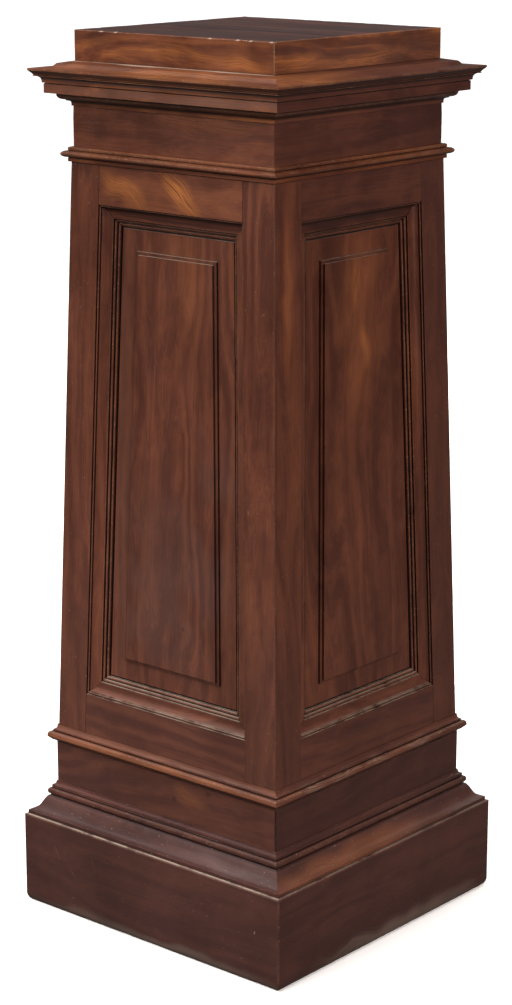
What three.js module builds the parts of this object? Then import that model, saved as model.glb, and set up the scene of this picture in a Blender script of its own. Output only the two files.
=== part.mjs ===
// A tall wooden pedestal: plinth, die, tapering panelled shaft, frieze, cornice and cap.
// Millimetres, +Z up, standing on z = 0 and centred on the z axis.
import * as THREE from 'three';

// Driving dimensions: half-widths are measured from the axis to a face
const HEIGHT = 1150;
const PLINTH_HALF = 221;
const PLINTH_TOP = 124;
const PLINTH_FOOT_ROUND = 7;
const PLINTH_ARRIS_ROUND = 3;
const DIE_HALF = 189;
const DIE_TOP = 223;
const SHAFT_TOP = 988;
const SHAFT_TOP_HALF = 165.7;
const SHAFT_BATTER = 0.02876;
const STILE_WIDTH = 49;
const OPENING_BOTTOM = 301;
const OPENING_TOP = 938.5;
const FRIEZE_SETBACK = 1;
const CORNICE_BOTTOM = 1057;
const CAP_BOTTOM = 1112.5;
const CAP_HALF = 161.2;
const BOARD_THICKNESS = 22;
const SHAFT_THICKNESS = 24;
const JOINT_GAP = 0.3;

// Panel: depths behind the face of the stiles, widths inwards from the opening's edge
const MOULDING_WIDTH = 27;
const MARGIN_DEPTH = 16.5;
const FIELD_STEP = 3;
const FIELD_STEP_WIDTH = 4;
const FIELD_INSET = 58;

// Sizes of the mouldings' members: a run is level, a rise is upright, a reach stands out
const PLINTH_MOULDING = {
  setback: 4,
  footFillet: 4.5,
  ogee: 21.5,
  beadReach: 2.6,
  beadRise: 9.2,
  shoulder: 1.4,
  topFillet: 4.1,
  coveRun: 4.4,
  coveRise: 5.5,
};
const SHAFT_BASE_MOULDING = {
  setback: 0.4,
  undersideRun: 8.8,
  undersideRise: 8,
  noseFillet: 3,
  ovoloRun: 4.9,
  ovoloRise: 4.6,
  shoulder: 0.8,
  topFillet: 2.2,
  coveRun: 4.2,
  coveRise: 6.9,
};
const NECK_MOULDING = {
  reach: 2.7,
  footFillet: 4.8,
  astragalReach: 7,
  astragalRise: 9,
  topFillet: 2.6,
  roundRun: 3.4,
  roundRise: 2.1,
};
const CORNICE = {
  reach: 1.8,
  footFillet: 3.4,
  lowCoveRun: 4.7,
  lowCoveRise: 3,
  bedFillet: 1.3,
  bedRun: 8.5,
  bedRise: 7.1,
  soffitFillet: 1.2,
  soffitRun: 10.7,
  corona: 12.6,
  coronaStep: 1.6,
  coveFillet: 0.8,
  coveRun: 7,
  coveRise: 7.5,
  noseRun: 5.5,
  noseRise: 8,
  edgeFillet: 2.5,
  weatheringRun: 21.5,
  weatheringRise: 1.4,
  stepRun: 4,
  stepRise: 3.8,
  shelfRun: 15,
};
// Panel moulding section, inwards and downwards from the opening's edge
const PANEL_BEAD = { width: 2.7, level: 1.4, crown: 0.9 };
const PANEL_OGEE = { start: 5.2, end: 17.6, drop: 7 };
const PANEL_INNER_BEADS = { first: 18, pitch: 4.5, width: 4.2, level: 10.8, drop: 2, crown: 1 };

const SIDES = ['front', 'right', 'back', 'left'];
const CURVE_SEGMENTS = 5;

const COLOURS = {
  plinth: 0x4b2a24,
  die: 0x52291f,
  moulding: 0x5a3324,
  frame: 0x5f3a2a,
  panel: 0x66402c,
  cap: 0x6e3f25,
};

// The shaft's faces lean in evenly with height, and the frieze goes on just behind their line
const shaftHalf = (z) => SHAFT_TOP_HALF + (SHAFT_TOP - z) * SHAFT_BATTER;
const friezeHalf = (z) => shaftHalf(z) - FRIEZE_SETBACK;

// Members of a moulding's outline, each drawn upwards from where the last one ended
const step = (run) => (outline, x, z) => outline.lineTo(x + run, z);
const fillet = (rise) => (outline, x, z) => outline.lineTo(x, z + rise);
const slope = (run, rise) => (outline, x, z) => outline.lineTo(x + run, z + rise);
const slopeTo = (run, level) => (outline, x) => outline.lineTo(x + run, level);

const ovolo = (run, rise) => (outline, x, z) => {
  const corner = run > 0 ? [x + run, z] : [x, z + rise];
  outline.quadraticCurveTo(...corner, x + run, z + rise);
};

const cove = (run, rise) => (outline, x, z) => {
  const corner = run > 0 ? [x, z + rise] : [x + run, z];
  outline.quadraticCurveTo(...corner, x + run, z + rise);
};

const bead = (reach, rise) => (outline, x, z) => {
  const pull = (4 / 3) * reach;
  outline.bezierCurveTo(x + pull, z, x + pull, z + rise, x, z + rise);
};

const ogee = (run, rise) => (outline, x, z) => {
  const hollow = [x + 0.65 * run, z + 0.02 * rise];
  const swell = [x + 0.6 * run, z + 0.84 * rise];
  outline.bezierCurveTo(...hollow, ...swell, x + run, z + rise);
};

// An outline from its lowest outer point through its members, closed along a straight back
function mouldingOutline([x, z], members, backBottom, backTop) {
  const outline = new THREE.Shape();
  outline.moveTo(x, z);
  for (const draw of members) {
    draw(outline, outline.currentPoint.x, outline.currentPoint.y);
  }
  outline.lineTo(backTop, outline.currentPoint.y);
  outline.lineTo(backBottom, z);
  outline.closePath();
  return outline;
}

// A strip along the front, with its outline in (distance from axis, height) and mitred ends
function mitredStrip(outline) {
  const geometry = new THREE.ExtrudeGeometry(outline, {
    depth: 2,
    steps: 1,
    curveSegments: CURVE_SEGMENTS,
    bevelEnabled: false,
  });
  const position = geometry.attributes.position;
  for (let i = 0; i < position.count; i += 1) {
    const out = position.getX(i);
    const height = position.getY(i);
    const along = 1 - position.getZ(i);
    position.setXYZ(i, along * (out - JOINT_GAP / 2), -out, height);
  }
  geometry.computeVertexNormals();
  return geometry;
}

// A straight board whose corners are given by a function of the signs of x, y and z
function board(corner) {
  const geometry = new THREE.BoxGeometry(2, 2, 2);
  const position = geometry.attributes.position;
  for (let i = 0; i < position.count; i += 1) {
    position.setXYZ(i, ...corner(position.getX(i), position.getY(i), position.getZ(i)));
  }
  geometry.computeVertexNormals();
  return geometry;
}

// A point of the front panel: inwards from the opening's edge, and back from the stiles' face
function facePoint(inset, depth, signX, signZ) {
  const z = signZ > 0 ? OPENING_TOP - inset : OPENING_BOTTOM + inset;
  const x = signX * (shaftHalf(z) - STILE_WIDTH - inset);
  return [x, -(shaftHalf(z) - depth), z];
}

// A four-cornered turning of a section: points are (inset, depth), or null at the panel's middle
function framedSection(points, middleDepth) {
  const corners = [[-1, -1], [-1, 1], [1, 1], [1, -1]];
  const placeholders = points.map((point, index) => new THREE.Vector2(point ? 1 : 0, index));
  const geometry = new THREE.LatheGeometry(placeholders, corners.length);
  const position = geometry.attributes.position;
  const middle = (OPENING_BOTTOM + OPENING_TOP) / 2;
  for (let i = 0; i < position.count; i += 1) {
    const index = i % points.length;
    const corner = corners[Math.floor(i / points.length) % corners.length];
    const depth = index === 0 ? middleDepth.front : middleDepth.back;
    const place = points[index]
      ? facePoint(...points[index], ...corner)
      : [0, -(shaftHalf(middle) - depth), middle];
    position.setXYZ(i, ...place);
  }
  geometry.computeVertexNormals();
  return geometry;
}

function plinthBoard() {
  const back = DIE_HALF + JOINT_GAP;
  const upright = PLINTH_TOP - PLINTH_FOOT_ROUND - PLINTH_ARRIS_ROUND;
  return mitredStrip(mouldingOutline(
    [PLINTH_HALF - PLINTH_FOOT_ROUND, 0],
    [
      ovolo(PLINTH_FOOT_ROUND, PLINTH_FOOT_ROUND),
      fillet(upright),
      ovolo(-PLINTH_ARRIS_ROUND, PLINTH_ARRIS_ROUND),
    ],
    back,
    back,
  ));
}

function plinthMoulding() {
  const back = DIE_HALF + JOINT_GAP;
  const size = PLINTH_MOULDING;
  return mitredStrip(mouldingOutline(
    [PLINTH_HALF - size.setback, PLINTH_TOP + JOINT_GAP],
    [
      fillet(size.footFillet),
      ogee(-size.ogee, size.ogee),
      bead(size.beadReach, size.beadRise),
      step(-size.shoulder),
      fillet(size.topFillet),
      cove(-size.coveRun, size.coveRise),
    ],
    back,
    back,
  ));
}

function dieBoard() {
  const back = DIE_HALF - BOARD_THICKNESS;
  return mitredStrip(mouldingOutline([DIE_HALF, 0], [fillet(DIE_TOP)], back, back));
}

function shaftBaseMoulding() {
  const size = SHAFT_BASE_MOULDING;
  const bottom = DIE_TOP + JOINT_GAP;
  const top = bottom + size.undersideRise + size.noseFillet + size.ovoloRise + size.topFillet
    + size.coveRise;
  return mitredStrip(mouldingOutline(
    [DIE_HALF - size.setback, bottom],
    [
      slope(size.undersideRun, size.undersideRise),
      fillet(size.noseFillet),
      ovolo(-size.ovoloRun, size.ovoloRise),
      step(-size.shoulder),
      fillet(size.topFillet),
      cove(-size.coveRun, size.coveRise),
    ],
    shaftHalf(bottom) + JOINT_GAP,
    shaftHalf(top) + JOINT_GAP,
  ));
}

function stile(side) {
  return board((signX, signY, signZ) => {
    const z = signZ > 0 ? SHAFT_TOP - JOINT_GAP : DIE_TOP + JOINT_GAP;
    const face = shaftHalf(z);
    const out = signY < 0 ? face : face - SHAFT_THICKNESS;
    const mitre = out - JOINT_GAP / 2;
    const inner = face - STILE_WIDTH;
    const atMitre = signX === side;
    return [side * (atMitre ? mitre : inner), -out, z];
  });
}

function rail(bottom, top) {
  return board((signX, signY, signZ) => {
    const z = signZ > 0 ? top : bottom;
    const face = shaftHalf(z);
    const out = signY < 0 ? face : face - SHAFT_THICKNESS;
    return [signX * (face - STILE_WIDTH - JOINT_GAP), -out, z];
  });
}

function panel() {
  const lowStep = MARGIN_DEPTH - FIELD_STEP;
  const field = lowStep - FIELD_STEP;
  const stepInset = FIELD_INSET - FIELD_STEP_WIDTH;
  const section = [
    null,
    [FIELD_INSET, field],
    [FIELD_INSET, lowStep],
    [stepInset, lowStep],
    [stepInset, MARGIN_DEPTH],
    [JOINT_GAP, MARGIN_DEPTH],
    [JOINT_GAP, SHAFT_THICKNESS],
    null,
  ];
  return framedSection(section, { front: field, back: SHAFT_THICKNESS });
}

// Section inwards from the opening: bead, fillet, ogee down to a ledge, then a pair of beads
function panelMoulding() {
  const outline = new THREE.Shape();
  const back = MARGIN_DEPTH - JOINT_GAP;
  const crownBead = (start, width, from, to, crown) => {
    const top = Math.min(from, to) - 2 * crown;
    outline.quadraticCurveTo(start + width / 2, top, start + width, to);
  };
  outline.moveTo(JOINT_GAP, back);
  outline.lineTo(JOINT_GAP, PANEL_BEAD.level);
  crownBead(JOINT_GAP, PANEL_BEAD.width, PANEL_BEAD.level, PANEL_BEAD.level, PANEL_BEAD.crown);
  outline.lineTo(PANEL_OGEE.start, PANEL_BEAD.level);
  const ogeeRun = PANEL_OGEE.end - PANEL_OGEE.start;
  const ogeeFoot = PANEL_BEAD.level + PANEL_OGEE.drop;
  outline.bezierCurveTo(
    PANEL_OGEE.start + 0.27 * ogeeRun,
    PANEL_BEAD.level + 0.03 * PANEL_OGEE.drop,
    PANEL_OGEE.start + 0.35 * ogeeRun,
    ogeeFoot - 0.11 * PANEL_OGEE.drop,
    PANEL_OGEE.end,
    ogeeFoot,
  );
  const beads = PANEL_INNER_BEADS;
  for (let row = 0; row < 2; row += 1) {
    const start = beads.first + row * beads.pitch;
    const level = beads.level + row * beads.drop;
    outline.lineTo(start, level);
    crownBead(start, beads.width, level, level + beads.drop / 2, beads.crown);
  }
  outline.lineTo(MOULDING_WIDTH, back);
  const section = outline.getPoints(CURVE_SEGMENTS).map((point) => [point.x, point.y]);
  section.push(section[0]);
  return framedSection(section.reverse(), { front: 0, back: 0 });
}

function neckMoulding() {
  const size = NECK_MOULDING;
  const bottom = SHAFT_TOP + JOINT_GAP;
  const top = bottom + size.footFillet + size.astragalRise + size.topFillet + size.roundRise;
  return mitredStrip(mouldingOutline(
    [SHAFT_TOP_HALF + size.reach, bottom],
    [
      fillet(size.footFillet),
      bead(size.astragalReach, size.astragalRise),
      fillet(size.topFillet),
      ovolo(-size.roundRun, size.roundRise),
    ],
    friezeHalf(bottom) + JOINT_GAP,
    friezeHalf(top) + JOINT_GAP,
  ));
}

function friezeBoard() {
  const top = CAP_BOTTOM - JOINT_GAP;
  return mitredStrip(mouldingOutline(
    [friezeHalf(SHAFT_TOP), SHAFT_TOP],
    [slope(friezeHalf(top) - friezeHalf(SHAFT_TOP), top - SHAFT_TOP)],
    friezeHalf(SHAFT_TOP) - BOARD_THICKNESS,
    friezeHalf(top) - BOARD_THICKNESS,
  ));
}

function corniceMoulding() {
  const size = CORNICE;
  const top = CAP_BOTTOM - JOINT_GAP;
  return mitredStrip(mouldingOutline(
    [friezeHalf(CORNICE_BOTTOM) + size.reach, CORNICE_BOTTOM],
    [
      fillet(size.footFillet),
      cove(size.lowCoveRun, size.lowCoveRise),
      fillet(size.bedFillet),
      ovolo(size.bedRun, size.bedRise),
      fillet(size.soffitFillet),
      step(size.soffitRun),
      fillet(size.corona),
      step(size.coronaStep),
      fillet(size.coveFillet),
      cove(size.coveRun, size.coveRise),
      slope(size.noseRun, size.noseRise),
      fillet(size.edgeFillet),
      slope(-size.weatheringRun, size.weatheringRise),
      cove(-size.stepRun, size.stepRise),
      slopeTo(-size.shelfRun, top),
    ],
    friezeHalf(CORNICE_BOTTOM) + JOINT_GAP,
    friezeHalf(top) + JOINT_GAP,
  ));
}

function capBoard() {
  const outline = new THREE.Shape();
  outline.moveTo(CAP_HALF, CAP_BOTTOM);
  outline.lineTo(CAP_HALF, HEIGHT);
  outline.lineTo(CAP_HALF - BOARD_THICKNESS, HEIGHT - BOARD_THICKNESS);
  outline.lineTo(CAP_HALF - BOARD_THICKNESS, CAP_BOTTOM);
  outline.closePath();
  return mitredStrip(outline);
}

function capTopBoard() {
  return board((signX, signY, signZ) => {
    const half = CAP_HALF - JOINT_GAP - (signZ > 0 ? 0 : BOARD_THICKNESS);
    return [signX * half, signY * half, HEIGHT - (signZ > 0 ? 0 : BOARD_THICKNESS)];
  });
}

function namedMesh(name, geometry, color) {
  const material = new THREE.MeshStandardMaterial({ color, roughness: 0.35, metalness: 0 });
  const mesh = new THREE.Mesh(geometry, material);
  mesh.name = name;
  return mesh;
}

// One side of the pedestal, made facing -Y
function pedestalSide(side) {
  const group = new THREE.Group();
  const bottomRail = rail(DIE_TOP + JOINT_GAP, OPENING_BOTTOM);
  const topRail = rail(OPENING_TOP, SHAFT_TOP - JOINT_GAP);
  group.add(
    namedMesh(`plinth_board_${side}`, plinthBoard(), COLOURS.plinth),
    namedMesh(`plinth_moulding_${side}`, plinthMoulding(), COLOURS.moulding),
    namedMesh(`die_board_${side}`, dieBoard(), COLOURS.die),
    namedMesh(`shaft_base_moulding_${side}`, shaftBaseMoulding(), COLOURS.moulding),
    namedMesh(`left_stile_${side}`, stile(-1), COLOURS.frame),
    namedMesh(`right_stile_${side}`, stile(1), COLOURS.frame),
    namedMesh(`bottom_rail_${side}`, bottomRail, COLOURS.frame),
    namedMesh(`top_rail_${side}`, topRail, COLOURS.frame),
    namedMesh(`panel_${side}`, panel(), COLOURS.panel),
    namedMesh(`panel_moulding_${side}`, panelMoulding(), COLOURS.moulding),
    namedMesh(`neck_moulding_${side}`, neckMoulding(), COLOURS.moulding),
    namedMesh(`frieze_board_${side}`, friezeBoard(), COLOURS.frame),
    namedMesh(`cornice_${side}`, corniceMoulding(), COLOURS.moulding),
    namedMesh(`cap_board_${side}`, capBoard(), COLOURS.cap),
  );
  return group;
}

const pedestal = new THREE.Group();
SIDES.forEach((side, quarter) => {
  const group = pedestalSide(side);
  group.rotation.z = (quarter * Math.PI) / 2;
  pedestal.add(group);
});
pedestal.add(namedMesh('cap_top_board', capTopBoard(), COLOURS.cap));

export default pedestal;
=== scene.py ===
"""A tall panelled pedestal of old polished mahogany, modelled piece by piece."""

import math

import bmesh
import bpy
from mathutils import Matrix, Vector, noise
from mathutils.bvhtree import BVHTree


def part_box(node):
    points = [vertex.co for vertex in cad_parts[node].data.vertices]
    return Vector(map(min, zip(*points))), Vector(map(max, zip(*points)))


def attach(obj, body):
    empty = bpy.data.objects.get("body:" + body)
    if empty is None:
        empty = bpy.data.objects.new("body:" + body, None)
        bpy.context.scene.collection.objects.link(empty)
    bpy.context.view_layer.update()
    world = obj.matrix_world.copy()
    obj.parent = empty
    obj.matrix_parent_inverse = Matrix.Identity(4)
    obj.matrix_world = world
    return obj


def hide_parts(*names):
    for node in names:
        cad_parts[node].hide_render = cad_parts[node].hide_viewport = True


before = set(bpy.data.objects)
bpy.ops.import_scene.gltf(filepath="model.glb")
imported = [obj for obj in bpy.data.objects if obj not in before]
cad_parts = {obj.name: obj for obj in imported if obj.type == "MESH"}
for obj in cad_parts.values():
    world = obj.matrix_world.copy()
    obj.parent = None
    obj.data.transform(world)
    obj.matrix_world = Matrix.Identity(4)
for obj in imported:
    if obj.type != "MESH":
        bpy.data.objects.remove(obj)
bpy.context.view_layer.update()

MM = 0.001
SIDES = ("front", "right", "back", "left")

# Main sizes, read from the frame in millimetres
plinth_low, plinth_high = (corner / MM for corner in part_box("plinth_board_front"))
die_low, die_high = (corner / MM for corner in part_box("die_board_front"))
low_rail_low, low_rail_high = (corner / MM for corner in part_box("bottom_rail_front"))
top_rail_low, top_rail_high = (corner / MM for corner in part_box("top_rail_front"))
frieze_low, frieze_high = (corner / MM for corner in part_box("frieze_board_front"))
cornice_low, cornice_high = (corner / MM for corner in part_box("cornice_front"))
cap_low, cap_high = (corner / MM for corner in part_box("cap_board_front"))

HEIGHT = cap_high.z
PLINTH_HALF = -plinth_low.y
PLINTH_TOP = plinth_high.z
DIE_HALF = -die_low.y
DIE_TOP = die_high.z
SHAFT_BOTTOM = low_rail_low.z
SHAFT_TOP = top_rail_high.z
OPENING_BOTTOM = low_rail_high.z
OPENING_TOP = top_rail_low.z
SHAFT_FOOT_HALF = -low_rail_low.y
BATTER = (top_rail_low.y - low_rail_low.y) / (OPENING_TOP - SHAFT_BOTTOM)
CAP_HALF = -cap_low.y
CAP_BOTTOM = cap_low.z
CORNICE_BOTTOM = cornice_low.z
CORNICE_TOP = cornice_high.z
FRIEZE_BOTTOM = frieze_low.z
FRIEZE_FOOT_HALF = -frieze_low.y
FRIEZE_TOP = frieze_high.z

# Joints, thicknesses and panel sizes, in millimetres
GAP = 0.3
MITRE_GAP = 0.004
BOARD = 22.0
SHAFT_THICKNESS = 24.0
MARGIN_DEPTH = 16.5
REVEAL = 3.5
PANEL_MOULDING_WIDTH = 27.0
FIELD_INSET = 54.0
FIELD_STEP = 3.0
FIELD_STEP_WIDTH = 4.0
GROOVE_WIDTH = 2.4
GROOVE_DEPTH = 2.0
GROOVE_COVERED = 1.4
CAP_LIP = 3.0
DIVISION = 7.0
CAP_DIVISION = 3.5

# How far the sharp edges are taken off, in millimetres
SOFT_EDGE = 0.45
TOP_EDGE = 0.4
FINE_EDGE = 0.35
MOULDING_EDGE = 0.3
JOINT_EDGE = 0.25
STRIP_EDGE = 0.22
CORNER_ROUND = 1.6
PLINTH_ROUND = 2.4
STILE_ROUND = 1.5

# Wear, dirt and painted shade in hollows, in millimetres and degrees
ARRIS_WIDTH = 2.6
ARRIS_TURN = 32.0
QUIRK_WIDTH = 6.0
GRIME_AND_SHADE_REACH = 7.0
CLEARANCE = 0.05
WEAR_DEPTH = 0.5
WEAR_SIZE = 22.0
CHIP_RADIUS = 3.5
CHIP_DEPTH = 1.1

# Counts, directions, angles in degrees and shares used in modelling
ACROSS = (1, 0, 0)
ROUNDING_CUTS = (15, 30, 45)
SHARP_ANGLE = 28
SMOOTH_ANGLE = 32
CURVE_STEPS = 7
EDGE_SEGMENTS = 2
GRIME_AND_SHADE_RAYS = 16
PARALLEL = 0.97
WORN_MARK = 0.3
WEAR_START = 0.05
WEAR_NOISE = (0.8, 2.0, 3)
CHIP_STEEPNESS = 1.6


def shaft_half(level):
    return SHAFT_FOOT_HALF - (level - SHAFT_BOTTOM) * BATTER


def frieze_half(level):
    return FRIEZE_FOOT_HALF - (level - FRIEZE_BOTTOM) * BATTER


STILE = shaft_half(SHAFT_BOTTOM) - low_rail_high.x - GAP


# Outlines of boards and mouldings, drawn upwards member by member, in millimetres
class Outline:
    def __init__(self, out, level):
        self.points = [(out, level)]

    def to(self, out, level):
        self.points.append((out, level))
        return self

    def step(self, run):
        out, level = self.points[-1]
        return self.to(out + run, level)

    def fillet(self, rise):
        out, level = self.points[-1]
        return self.to(out, level + rise)

    def slope(self, run, rise):
        out, level = self.points[-1]
        return self.to(out + run, level + rise)

    def curve(self, *controls):
        """A smooth curve from the last point, pulled by its controls, to the last of them."""
        corners = [self.points[-1], *controls]
        for step in range(1, CURVE_STEPS + 1):
            share = step / CURVE_STEPS
            row = corners
            while len(row) > 1:
                row = [
                    (a[0] + (b[0] - a[0]) * share, a[1] + (b[1] - a[1]) * share)
                    for a, b in zip(row, row[1:])
                ]
            self.points.append(row[0])
        return self

    def ovolo(self, run, rise):
        out, level = self.points[-1]
        corner = (out + run, level) if run > 0 else (out, level + rise)
        return self.curve(corner, (out + run, level + rise))

    def cove(self, run, rise):
        out, level = self.points[-1]
        corner = (out, level + rise) if run > 0 else (out + run, level)
        return self.curve(corner, (out + run, level + rise))

    def bead(self, reach, rise):
        out, level = self.points[-1]
        pull = reach * 4 / 3
        return self.curve((out + pull, level), (out + pull, level + rise), (out, level + rise))

    def ogee(self, run, rise):
        out, level = self.points[-1]
        hollow = (out + 0.65 * run, level + 0.02 * rise)
        swell = (out + 0.6 * run, level + 0.84 * rise)
        return self.curve(hollow, swell, (out + run, level + rise))

    def quirk(self, depth, rise):
        return self.step(-depth).fillet(rise).step(depth)


# Modelling by hand: a start shape, its length, saw cuts, softened edges and wear
def deselect_everything():
    if bpy.context.mode != "OBJECT":
        bpy.ops.object.mode_set(mode="OBJECT")
    bpy.ops.object.select_all(action="DESELECT")


def run_length(name, points, place, run):
    """A length of an outline: place sets a point in the start plane, run is the way it goes."""
    deselect_everything()
    bpy.ops.mesh.primitive_circle_add(vertices=len(points), fill_type="NGON")
    piece = bpy.context.object
    piece.name = name
    for vertex, point in zip(piece.data.vertices, points):
        vertex.co = Vector(place(*point)) * MM
    bpy.ops.object.mode_set(mode="EDIT")
    bpy.ops.mesh.select_all(action="SELECT")
    travel = tuple(Vector(run) * MM)
    bpy.ops.mesh.extrude_region_move(
        TRANSFORM_OT_translate={"value": travel, "orient_type": "GLOBAL"}
    )
    bpy.ops.mesh.select_all(action="SELECT")
    bpy.ops.mesh.normals_make_consistent(inside=False)
    bpy.ops.object.mode_set(mode="OBJECT")
    return piece


def saw(piece, point, normal):
    """Saws off what lies on the normal's side of a plane, and closes the cut."""
    bpy.context.view_layer.objects.active = piece
    bpy.ops.object.mode_set(mode="EDIT")
    bpy.ops.mesh.select_all(action="SELECT")
    bpy.ops.mesh.bisect(
        plane_co=Vector(point) * MM,
        plane_no=normal,
        use_fill=True,
        clear_outer=True,
        threshold=1e-7,
    )
    bpy.ops.object.mode_set(mode="OBJECT")


def saw_mitres(piece):
    """Mitres both ends of a strip along the front at the pedestal's corners."""
    for hand in (-1, 1):
        saw(piece, (-hand * MITRE_GAP, 0, 0), (hand, 1, 0))


def round_corners(piece, half, radius):
    """Planes the upright corners of a mitred front board round, with a few cuts about the arc."""
    for hand in (-1, 1):
        centre = Vector((hand * (half - radius), radius - half, 0))
        for degrees in ROUNDING_CUTS:
            turn = math.radians(degrees)
            normal = Vector((hand * math.sin(turn), -math.cos(turn), 0))
            saw(piece, centre + normal * radius, normal)


def soften(piece, width):
    """Takes the sharpness off every edge of a piece."""
    bevel = piece.modifiers.new("soft edges", "BEVEL")
    bevel.width = width * MM
    bevel.segments = EDGE_SEGMENTS
    bevel.limit_method = "ANGLE"
    bevel.angle_limit = math.radians(SHARP_ANGLE)
    bevel.use_clamp_overlap = True
    bpy.context.view_layer.objects.active = piece
    bpy.ops.object.modifier_apply(modifier=bevel.name)


def divide(piece, along, spacing=DIVISION):
    """Divides the long edges that run along a direction, so that wear can follow them."""
    bpy.ops.object.mode_set(mode="EDIT")
    bpy.ops.mesh.select_mode(type="EDGE")
    bpy.ops.mesh.select_all(action="DESELECT")
    mesh = bmesh.from_edit_mesh(piece.data)
    direction = Vector(along).normalized()
    longest = 0.0
    for edge in mesh.edges:
        run = edge.verts[1].co - edge.verts[0].co
        straight = abs(run.dot(direction)) > PARALLEL * run.length
        edge.select_set(straight and run.length > 3 * spacing * MM)
        if edge.select:
            longest = max(longest, run.length)
    bmesh.update_edit_mesh(piece.data)
    cuts = int(longest / (spacing * MM))
    if cuts > 0:
        bpy.ops.mesh.subdivide(number_cuts=cuts)
    bpy.ops.mesh.select_mode(type="VERT")
    bpy.ops.object.mode_set(mode="OBJECT")


def narrow_faces(piece, width):
    """The faces narrower than a width."""
    places = piece.data.vertices
    for face in piece.data.polygons:
        corners = [places[index].co for index in face.vertices]
        longest = max((a - b).length for a, b in zip(corners, corners[1:] + corners[:1]))
        if face.area < width * MM * longest:
            yield face


def mark_edges(piece):
    """Marks the outward edges: arris rises to 1 on the narrow faces that turn a corner."""
    mesh = bmesh.new()
    mesh.from_mesh(piece.data)
    mesh.faces.ensure_lookup_table()
    values = [0.0] * len(mesh.faces)
    for face in narrow_faces(piece, ARRIS_WIDTH):
        turn = sum(edge.calc_face_angle_signed(0.0) for edge in mesh.faces[face.index].edges)
        values[face.index] = max(0.0, min(1.0, math.degrees(turn) / ARRIS_TURN))
    mesh.free()
    marks = piece.data.attributes.new("arris", "FLOAT", "FACE")
    marks.data.foreach_set("value", values)


def gather_grime_and_shade(pieces):
    """Marks how shut in each narrow face is by its neighbours: there polish and dirt gather, and the
    same mark paints shade into the hollows.
    """
    corners = []
    faces = []
    for piece in pieces:
        start = len(corners)
        corners.extend(vertex.co.copy() for vertex in piece.data.vertices)
        faces.extend([start + index for index in face.vertices] for face in piece.data.polygons)
    surfaces = BVHTree.FromPolygons(corners, faces)
    spread = []
    for number in range(GRIME_AND_SHADE_RAYS):
        turn = number * math.pi * (3 - math.sqrt(5))
        out = math.sqrt((number + 0.5) / GRIME_AND_SHADE_RAYS)
        spread.append((out * math.cos(turn), out * math.sin(turn), math.sqrt(1 - out * out)))
    for piece in pieces:
        values = [0.0] * len(piece.data.polygons)
        for face in narrow_faces(piece, QUIRK_WIDTH):
            normal = face.normal.copy()
            across = normal.orthogonal().normalized()
            other = normal.cross(across)
            origin = face.center + normal * CLEARANCE * MM
            shut = 0.0
            for x, y, z in spread:
                ray = across * x + other * y + normal * z
                distance = surfaces.ray_cast(origin, ray, GRIME_AND_SHADE_REACH * MM)[3]
                if distance is not None:
                    shut += 1 - distance / (GRIME_AND_SHADE_REACH * MM)
            values[face.index] = shut / GRIME_AND_SHADE_RAYS
        marks = piece.data.attributes.new("grime_and_shade", "FLOAT", "FACE")
        marks.data.foreach_set("value", values)


def wear_edges(piece, depth, size, seed):
    """Wears the outward edges unevenly: depth is the deepest loss, size a worn place's spread."""
    mesh = piece.data
    arris = [mark.value for mark in mesh.attributes["arris"].data]
    worn = set()
    kept = set()
    for face, mark in zip(mesh.polygons, arris):
        (worn if mark > WORN_MARK else kept).update(face.vertices)
    worn -= kept
    shift = Vector((seed * 3.7, seed * 1.9, seed * 2.3))
    moved = {}
    for index in worn:
        vertex = mesh.vertices[index]
        place = vertex.co / (size * MM) + shift
        loss = max(0.0, noise.fractal(place, *WEAR_NOISE) - WEAR_START)
        moved[index] = vertex.co - vertex.normal * min(1.0, loss) * depth * MM
    for index, place in moved.items():
        mesh.vertices[index].co = place
    mesh.update()


def dent(piece, point, radius, depth, towards):
    """Knocks a small chip out of a piece around a point, given in millimetres."""
    centre = Vector(point) * MM
    push = Vector(towards).normalized() * depth * MM
    for vertex in piece.data.vertices:
        share = 1 - (vertex.co - centre).length / (radius * MM)
        if share > 0:
            vertex.co += push * min(1.0, CHIP_STEEPNESS * share)
    piece.data.update()


def smooth(piece):
    deselect_everything()
    piece.select_set(True)
    bpy.context.view_layer.objects.active = piece
    bpy.ops.object.shade_smooth_by_angle(angle=math.radians(SMOOTH_ANGLE))
    even = piece.modifiers.new("even shading", "WEIGHTED_NORMAL")
    even.keep_sharp = True
    bpy.ops.object.modifier_apply(modifier=even.name)


def level_strip(name, outline):
    """A strip along the front, mitred, from an outline of distances out and levels."""
    reach = max(out for out, level in outline.points)
    overrun = 1
    piece = run_length(
        name,
        outline.points,
        lambda out, level: (-reach - overrun, -out, level),
        (2 * (reach + overrun), 0, 0),
    )
    saw_mitres(piece)
    return piece


def finish_strip(piece, edge=SOFT_EDGE, spacing=DIVISION):
    """Softens the edges of a level strip and divides its length."""
    soften(piece, edge)
    divide(piece, ACROSS, spacing)
    return piece


# The pieces of one side, each modelled facing the front
def plinth_board():
    back = DIE_HALF + GAP
    foot, head = 20, 3
    outline = Outline(PLINTH_HALF - 8, 0).ovolo(8, foot).fillet(PLINTH_TOP - foot - head)
    outline.ovolo(-head, head)
    outline.to(back, PLINTH_TOP).to(back, 0)
    piece = level_strip("plinth_board", outline)
    round_corners(piece, PLINTH_HALF, PLINTH_ROUND)
    return finish_strip(piece)


def plinth_moulding():
    back = DIE_HALF + GAP
    outline = Outline(PLINTH_HALF - 4, PLINTH_TOP + GAP).fillet(4.5).ogee(-21.3, 21.2)
    outline.quirk(1.6, 0.7).bead(2.8, 8.6).step(-2.2).fillet(0.7).step(0.8).fillet(3.6)
    outline.cove(-4.2, 5.5).step(back - outline.points[-1][0]).to(back, PLINTH_TOP + GAP)
    return finish_strip(level_strip("plinth_moulding", outline), MOULDING_EDGE)


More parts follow.
